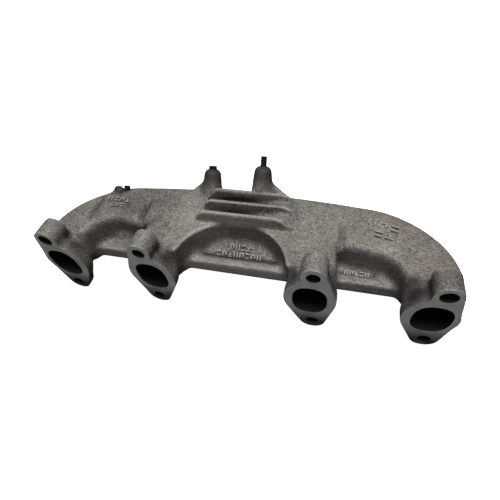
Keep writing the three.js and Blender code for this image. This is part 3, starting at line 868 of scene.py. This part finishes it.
def add_mark_row(shape, body, start, across, pattern, pitch, tall):
    """A row of marks on the body. Each letter of the pattern stands for a few bars or a pip."""
    for i, kind in enumerate(pattern):
        over = start + across * pitch * i + UP * CLEAR_OF_ROOF
        found, place, normal, _ = body.ray_cast(over, -UP)
        if not found:
            raise RuntimeError("a foundry mark has no surface under it")
        along = (across - normal * across.dot(normal)).normalized()
        up = normal.cross(along)
        if kind in "tu":
            second = tall if kind == "t" else tall * 0.55
            add_mark(shape, place - along * pitch * 0.26, along, up, MARK_BAR, tall)
            add_mark(shape, place + along * pitch * 0.26, along, up, MARK_BAR, second)
        if kind in "cu":
            add_mark(shape, place + up * tall * 0.38, along, up, pitch * 0.72, MARK_BAR)
        if kind in "cb":
            add_mark(shape, place - up * tall * 0.38, along, up, pitch * 0.72, MARK_BAR)
        if kind == "b":
            add_mark(shape, place, along, up, MARK_BAR + 0.5, MARK_BAR + 0.5)


def foundry_marks(body):
    """Generic raised marks on the web and on the roof."""
    shape = Shape()
    turned = Vector((0.957, -0.29, 0))
    add_mark_row(shape, body, Vector((-8, 46.2, 0)), RIGHT, "utcb", pitch=5.2, tall=5.6)
    add_mark_row(shape, body, Vector((-20, 40.4, 0)), RIGHT, "cubtucut", pitch=5.4, tall=5)
    add_mark_row(shape, body, Vector((94, 37.6, 0)), RIGHT, "tubct", pitch=4.2, tall=4.2)
    add_mark_row(shape, body, Vector((109, 68.5, 0)), turned, "tuc", pitch=9, tall=5.6)
    add_mark_row(shape, body, Vector((114, 57, 0)), turned, "cb", pitch=9, tall=5.2)
    add_mark_row(shape, body, Vector((-131, 64, 0)), RIGHT, "tcub", pitch=6, tall=4.6)
    add_mark_row(shape, body, Vector((-125, 57, 0)), RIGHT, "ctc", pitch=4.4, tall=3.6)
    return shape


def cast_skin(sizes, finishes):
    """The fused casting with its creases and fins, still solid."""
    body = cast_body(sizes).object("casting", finishes)
    fuse(body, sizes.voxel / MM, fillet=sizes.fillet / MM, smoothing=1)
    press_valleys(body)
    grooves = Shape()
    left, right = GROOVES
    front, rear = FIN_FIRST + 1, FIN_FIRST + 2 * FIN_PITCH + 2
    grooves.block(Vector((left, front, GROOVE_FLOOR)), Vector((right, rear, CLEAR_OF_ROOF)))
    cut(body, grooves.object("grooves", finishes))
    skin = Shape()
    skin.bm.from_mesh(body.data)
    add_fins(skin)
    bpy.data.objects.remove(body)
    body = skin.object("casting", finishes)
    fuse(body, sizes.voxel / MM, smoothing=2, keep=0.6)
    return body


def hollow_out(body, sizes, finishes):
    """Adds the foundry marks, mills the faces and opens the passages."""
    hollow = passages(sizes).object("passages", finishes)
    fuse(hollow, 1.6, smoothing=3, keep=0.3)
    # the passages get soot and painted shade
    use_finish(hollow, SOOT_AND_SHADE)
    cutter = milling().object("milling", finishes)
    use_finish(cutter, MACHINED)
    cut(body, foundry_marks(body).object("marks", finishes), "UNION")
    cut(body, cutter)
    cut(body, hollow)
    pad = Shape()
    pad.cone(leaning(*END_BOSS), -15, -2.5, 6.5, 5.5)
    cut(body, pad.object("pad", finishes), "UNION")


def bore(body, holes, finishes):
    """Cuts the bolt holes with their nut seats, and the studs' holes."""
    seats = Shape()
    drill = Shape()
    for hole in holes:
        add_nut_seat(seats, *hole)
        add_bolt_hole(drill, *hole)
    foot = -STUD_EMBED - STUD_CLEARANCE
    for x, top, _, _, radius in POSTS:
        drill.cone(leaning(x, POST_TOP_Y, top), foot, 3, radius, radius)
    drill.cone(leaning(*END_BOSS), foot, 3, END_HOLE_RADIUS, END_HOLE_RADIUS)
    for corner in outlet_corners():
        radius = OUTLET_STUD_RADIUS + STUD_CLEARANCE
        deep = OUTLET_STUD_EMBED + STUD_CLEARANCE
        drill.turned([(OUTLET_FACE - 2, radius), (OUTLET_FACE + deep, radius)], corner, UP)
    # the walls of the drilled holes get painted shade
    for tool, finish in ((seats, MACHINED), (drill, SOOT_AND_SHADE)):
        tool = tool.object("tool", finishes)
        use_finish(tool, finish)
        cut(body, tool)


def stud(matrix, radius, low, high, pitch):
    """A rod with a screw thread, its ends cut square, along a frame's own upward axis."""
    shape = Shape()
    bm = shape.bm
    steps = 24
    turns = math.ceil((high - low) / pitch) + 2
    root = radius - 0.6 * pitch
    points = ((root, 0), (root + 0.05, 0.12), (radius, 0.46), (radius, 0.6), (root + 0.05, 0.94), (root, 1))
    verts = [bm.verts.new((r, 0, low - pitch + h * pitch)) for r, h in points]
    edges = [bm.edges.new(pair) for pair in zip(verts, verts[1:])]
    bmesh.ops.spin(bm, geom=verts + edges, cent=(0, 0, 0), axis=(0, 0, 1), dvec=(0, 0, pitch / steps),
                   angle=2 * math.pi * turns, steps=steps * turns, use_merge=False)
    bmesh.ops.remove_doubles(bm, verts=bm.verts, dist=0.002)
    for height, sign in ((low, -1), (high, 1)):
        whole = [*bm.verts, *bm.edges, *bm.faces]
        bmesh.ops.bisect_plane(bm, geom=whole, plane_co=(0, 0, height), plane_no=(0, 0, sign),
                               clear_outer=True)
    open_edges = [edge for edge in bm.edges if edge.is_boundary]
    caps = bmesh.ops.holes_fill(bm, edges=open_edges, sides=0)["faces"]
    bmesh.ops.inset_individual(bm, faces=caps, thickness=0.5, depth=0)
    bmesh.ops.recalc_face_normals(bm, faces=bm.faces)
    bmesh.ops.transform(bm, verts=bm.verts, matrix=matrix)
    return shape


class MANIFOLD_OT_casting(bpy.types.Operator):
    """Model the one-piece iron casting"""

    bl_idname = "manifold.casting"
    bl_label = "Casting"

    def execute(self, context):
        sizes = context.scene.manifold_sizes
        colours = context.scene.manifold_colours
        finishes = [make(colours) for make in (iron_finish, machined_finish, soot_and_shade_finish)]
        body = cast_skin(sizes, finishes)
        hollow_out(body, sizes, finishes)
        bore(body, bolt_holes(sizes), finishes)
        hand_over(body, ["manifold_casting"])
        return {"FINISHED"}


class MANIFOLD_OT_shield_studs(bpy.types.Operator):
    """Model the three studs that carry the heat shield"""

    bl_idname = "manifold.shield_studs"
    bl_label = "Shield Studs"

    def execute(self, context):
        pitch = context.scene.stud_sizes.fine_pitch / MM
        finish = stud_finish(context.scene.manifold_colours)
        for name, place, radius, out in SHIELD_STUDS:
            shape = stud(leaning(*place), radius, -STUD_EMBED, out, pitch)
            hand_over(shape.object(f"stud_{name}", [finish]), [f"shield_stud_{name}"], angle=50)
        return {"FINISHED"}


class MANIFOLD_OT_outlet_studs(bpy.types.Operator):
    """Model the four studs of the outlet flange"""

    bl_idname = "manifold.outlet_studs"
    bl_label = "Outlet Studs"

    def execute(self, context):
        pitch = context.scene.stud_sizes.coarse_pitch / MM
        finish = bpy.data.materials["phosphated_steel"]
        for i, corner in enumerate(outlet_corners(), 1):
            name = f"outlet_stud_{i}"
            base = Matrix.Translation(corner + UP * OUTLET_FACE)
            shape = stud(base, OUTLET_STUD_RADIUS, -OUTLET_STUD_OUT, OUTLET_STUD_EMBED, pitch)
            hand_over(shape.object(f"{name}_thread", [finish]), [name], angle=50)
        return {"FINISHED"}


def add_light(name, place, size, power, target):
    """A soft square light that faces a target."""
    light = bpy.data.lights.new(name, "AREA")
    light.shape = "SQUARE"
    light.size = size
    light.energy = power
    lamp = bpy.data.objects.new(name, light)
    lamp.location = place
    lamp.rotation_mode = "QUATERNION"
    lamp.rotation_quaternion = (target - Vector(place)).to_track_quat("-Z", "Y")
    bpy.context.scene.collection.objects.link(lamp)


class MANIFOLD_OT_stage(bpy.types.Operator):
    """Set the floor, the lights and the camera"""

    bl_idname = "manifold.stage"
    bl_label = "Stage"

    def execute(self, context):
        scene = context.scene
        low, high = CAD_BOX
        middle = (low + high) / 2
        bm = bmesh.new()
        place = Matrix.Translation((middle.x, middle.y, low.z - FLOOR_GAP * MM))
        bmesh.ops.create_grid(bm, x_segments=1, y_segments=1, size=4, matrix=place)
        mesh = bpy.data.meshes.new("floor")
        bm.to_mesh(mesh)
        bm.free()
        floor = bpy.data.objects.new("floor", mesh)
        scene.collection.objects.link(floor)
        paint = Finish("pale_floor")
        paint.set(
            Base_Color=opaque(scene.manifold_colours.floor),
            Roughness=0.9,
            Emission_Color=(1, 1, 1, 1),
            Emission_Strength=1,
        )
        mesh.materials.append(paint.material)
        floor.visible_diffuse = False
        floor.visible_glossy = False

        for light in LIGHTS:
            add_light(*light, middle)

        world = bpy.data.worlds.new("studio")
        world.use_nodes = True
        background = world.node_tree.nodes["Background"]
        background.inputs["Color"].default_value = (1, 1, 1, 1)
        background.inputs["Strength"].default_value = WORLD_LIGHT
        scene.world = world
        scene.view_settings.view_transform = "Standard"

        camera = bpy.data.objects.new("camera", bpy.data.cameras.new("camera"))
        camera.data.lens = CAMERA_LENS
        camera.data.sensor_width = 36
        camera.data.clip_start = 0.01
        camera.matrix_world = Matrix.Translation(CAMERA_PLACE) @ CAMERA_AXES.to_4x4()
        scene.collection.objects.link(camera)
        scene.camera = camera
        return {"FINISHED"}


class MANIFOLD_PT_panel(bpy.types.Panel):
    """The manifold's makers, in the 3D view's sidebar"""

    bl_idname = "MANIFOLD_PT_panel"
    bl_label = "Exhaust Manifold"
    bl_space_type = "VIEW_3D"
    bl_region_type = "UI"
    bl_category = "Manifold"

    def draw(self, context):
        for group in (context.scene.manifold_sizes, context.scene.stud_sizes, context.scene.manifold_colours):
            box = self.layout.box()
            for name in group.__annotations__:
                box.prop(group, name)
        for operator in OPERATORS:
            self.layout.operator(operator.bl_idname)


OPERATORS = (
    MANIFOLD_OT_casting,
    MANIFOLD_OT_shield_studs,
    MANIFOLD_OT_outlet_studs,
    MANIFOLD_OT_stage,
)
CLASSES = (ManifoldSizes, StudSizes, ManifoldColours, *OPERATORS, MANIFOLD_PT_panel)


def register():
    for cls in CLASSES:
        bpy.utils.register_class(cls)
    bpy.types.Scene.manifold_sizes = bpy.props.PointerProperty(type=ManifoldSizes)
    bpy.types.Scene.stud_sizes = bpy.props.PointerProperty(type=StudSizes)
    bpy.types.Scene.manifold_colours = bpy.props.PointerProperty(type=ManifoldColours)


def unregister():
    del bpy.types.Scene.manifold_colours
    del bpy.types.Scene.stud_sizes
    del bpy.types.Scene.manifold_sizes
    for cls in reversed(CLASSES):
        bpy.utils.unregister_class(cls)


def main():
    register()
    bpy.ops.manifold.casting()
    bpy.ops.manifold.shield_studs()
    bpy.ops.manifold.outlet_studs()
    bpy.ops.manifold.stage()


if __name__ == "__main__":
    main()
